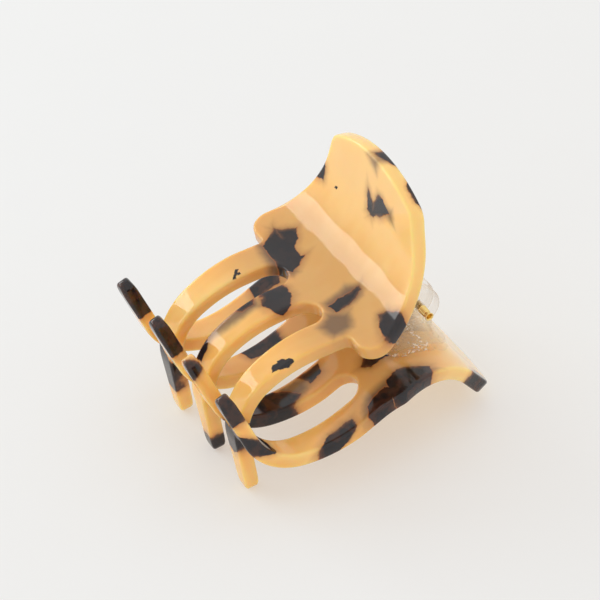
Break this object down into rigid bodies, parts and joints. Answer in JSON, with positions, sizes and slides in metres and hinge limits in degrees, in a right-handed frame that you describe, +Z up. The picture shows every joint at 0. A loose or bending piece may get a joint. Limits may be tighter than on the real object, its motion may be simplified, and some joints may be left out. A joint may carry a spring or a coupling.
{
  "type": "hair claw clip",
  "caption": "Sprung hair claw clip of bent tortoiseshell acetate: two interleaving clawed jaws with flared handles on a brass pin hinge.",
  "frame": {"origin": "centre of the bounding box's underside, on the surface that the closed clip lies on", "axes": "+X along the hinge pin towards its tubular end, +Y from the claws to the handles, +Z up"},
  "size_m": [0.0504, 0.0658, 0.0573],
  "materials": {
    "tortoiseshell_acetate": "polished amber acetate with near-black tortoiseshell blotches",
    "clear_plastic": "clear, slightly yellow moulded plastic",
    "clear_cement": "clear cement with small bubbles",
    "brass_pin": "bright brass",
    "spring_wire": "drawn wire, brass plated"
  },
  "bodies": {
    "lower_half": {"jaw_lower": "tortoiseshell_acetate", "cement_lower": "clear_cement", "bracket_lower": "clear_plastic", "hinge_pin": "brass_pin", "torsion_spring": "spring_wire"},
    "upper_half": {"jaw_upper": "tortoiseshell_acetate", "cement_upper": "clear_cement", "bracket_upper": "clear_plastic"}
  },
  "joints": [
    {"name": "jaw_hinge", "type": "hinge", "parent": "lower_half", "child": "upper_half", "pos_m": [0, 0.01698, 0.02765], "axis": [-1, 0, 0], "range_deg": [0, 60], "stiffness_Nm_per_rad": 0.1, "springref_deg": -34.38, "deforming": ["torsion_spring"]}
  ]
}
